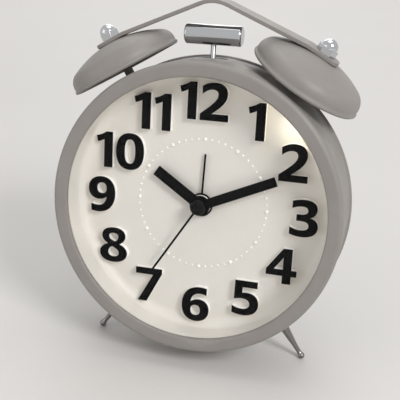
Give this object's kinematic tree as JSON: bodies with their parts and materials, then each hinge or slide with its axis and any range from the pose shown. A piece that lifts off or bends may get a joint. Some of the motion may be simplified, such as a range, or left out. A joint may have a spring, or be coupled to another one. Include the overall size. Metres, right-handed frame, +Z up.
{
  "type": "twin-bell alarm clock",
  "caption": "Round table alarm clock with a deep white dial, raised bold figures, baton hands, a bell on each shoulder, a strap handle and splayed turned legs.",
  "frame": {"origin": "on the table, under the centre of the bounding box", "axes": "+Z up, +Y from the dial towards the back cover, +X to the right of someone facing the dial; the dial leans back 7.5 degrees"},
  "size_m": [0.1242, 0.0642, 0.1517],
  "materials": {
    "case_paint": "matte grey stoving paint",
    "clear_lens": "clear, polished",
    "dial_white": "satin white moulding",
    "figure_black": "black foil on raised figures",
    "hand_black": "satin black paint on thin aluminium",
    "chrome": "polished plating",
    "cover_black": "fine-textured black moulding",
    "movement_grey": "natural white moulding",
    "gear_white": "natural acetal",
    "brass": "plain brass",
    "steel": "zinc-plated steel",
    "iron": "soft iron",
    "copper": "enamelled copper winding",
    "board_green": "green circuit board",
    "component_black": "resin and ceramic",
    "cell_wrap": "copper-coloured cell wrap, no lettering",
    "lamp_clear": "frosted clear epoxy",
    "wire_black": "insulated wire",
    "pad_rubber": "soft rubber"
  },
  "bodies": {
    "case": {"front_bezel": "case_paint", "lens": "clear_lens", "case_drum": "case_paint", "back_cover": "cover_black", "case_screws": "steel", "dial": "dial_white", "minute_dots": "dial_white", "numeral_bodies": "dial_white", "numeral_faces": "figure_black", "movement_front": "movement_grey", "movement_shell": "movement_grey", "movement_screws": "steel", "stepper_coil": "copper", "stepper_stator": "iron", "cell": "cell_wrap", "cell_tray": "cover_black", "contact_plate": "steel", "contact_spring": "steel", "circuit_board": "board_green", "board_parts": "component_black", "light_switch": "component_black", "alarm_switch_body": "component_black", "lamp": "lamp_clear", "wires": "wire_black", "left_bell": "case_paint", "right_bell": "case_paint", "bell_posts": "chrome", "bell_nuts": "chrome", "inner_nuts": "steel", "handle": "case_paint", "hammer_bracket": "steel", "hammer_pin": "steel", "hammer_coil": "copper", "hammer_core": "iron", "left_leg": "chrome", "right_leg": "chrome", "rear_foot": "cover_black", "foot_pad": "pad_rubber"},
    "second_hand_set": {"second_hand": "hand_black", "hand_cap": "figure_black", "second_arbor": "steel"},
    "minute_hand_set": {"minute_hand": "hand_black", "minute_arbor": "brass", "centre_wheel": "gear_white"},
    "third_wheel_set": {"third_wheel": "gear_white"},
    "hour_hand_set": {"hour_hand": "hand_black", "hour_wheel": "gear_white"},
    "time_setting": {"setting_wheel": "gear_white", "time_knob": "cover_black"},
    "alarm_hand_set": {"alarm_hand": "hand_black", "alarm_wheel": "gear_white"},
    "alarm_setting": {"alarm_arbor": "gear_white", "alarm_knob": "cover_black"},
    "hammer": {"hammer_head": "chrome", "hammer_arm": "steel", "hammer_armature": "iron", "hammer_spring": "steel"},
    "battery_lid": {"battery_door": "cover_black"},
    "light_push": {"light_button": "cover_black"},
    "alarm_slider": {"alarm_switch_knob": "cover_black"}
  },
  "joints": [
    {"name": "second_hand_turn", "type": "hinge", "parent": "case", "child": "second_hand_set", "pos_m": [0, -0.01243, 0.06849], "axis": [0, 0.9914, -0.1305], "continuous": true},
    {"name": "minute_hand_turn", "type": "hinge", "parent": "case", "child": "minute_hand_set", "pos_m": [0, -0.01243, 0.06849], "axis": [0, 0.9914, -0.1305], "continuous": true},
    {"name": "third_wheel_turn", "type": "hinge", "parent": "case", "child": "third_wheel_set", "pos_m": [0, 0.0046, 0.07533], "axis": [0, 0.9914, -0.1305], "continuous": true},
    {"name": "hour_hand_turn", "type": "hinge", "parent": "case", "child": "hour_hand_set", "pos_m": [0, -0.01243, 0.06849], "axis": [0, 0.9914, -0.1305], "continuous": true},
    {"name": "time_knob_turn", "type": "hinge", "parent": "case", "child": "time_setting", "pos_m": [-0.0096, 0.00343, 0.06641], "axis": [0, 0.9914, -0.1305], "continuous": true},
    {"name": "alarm_knob_turn", "type": "hinge", "parent": "case", "child": "alarm_setting", "pos_m": [0.012, 0.00343, 0.06641], "axis": [0, 0.9914, -0.1305], "continuous": true},
    {"name": "alarm_hand_turn", "type": "hinge", "parent": "case", "child": "alarm_hand_set", "pos_m": [0, -0.01243, 0.06849], "axis": [0, 0.9914, -0.1305], "continuous": true},
    {"name": "hammer_swing", "type": "hinge", "parent": "case", "child": "hammer", "pos_m": [0, 0.00335, 0.1118], "axis": [0, 0.9914, -0.1305], "range_deg": [-12.8, 12.8], "stiffness_Nm_per_rad": 0.02},
    {"name": "battery_door_swing", "type": "hinge", "parent": "case", "child": "battery_lid", "pos_m": [0, 0.00748, 0.01443], "axis": [-1, 0, 0], "range_deg": [0, 95]},
    {"name": "light_button_push", "type": "slide", "parent": "case", "child": "light_push", "axis": [0, -0.9914, 0.1305], "range_m": [0, 0.001], "stiffness_N_per_m": 150, "springref_m": -0.001},
    {"name": "alarm_switch_slide", "type": "slide", "parent": "case", "child": "alarm_slider", "axis": [0, 0.1305, 0.9914], "range_m": [0, 0.0044]}
  ],
  "couplings": [
    {"joint": "minute_hand_turn", "follows": "second_hand_turn", "ratio": 0.016667},
    {"joint": "third_wheel_turn", "follows": "second_hand_turn", "ratio": -0.13333},
    {"joint": "hour_hand_turn", "follows": "second_hand_turn", "ratio": 0.0013889},
    {"joint": "time_knob_turn", "follows": "second_hand_turn", "ratio": -0.0055556},
    {"joint": "alarm_hand_turn", "follows": "alarm_knob_turn", "ratio": -0.25}
  ]
}
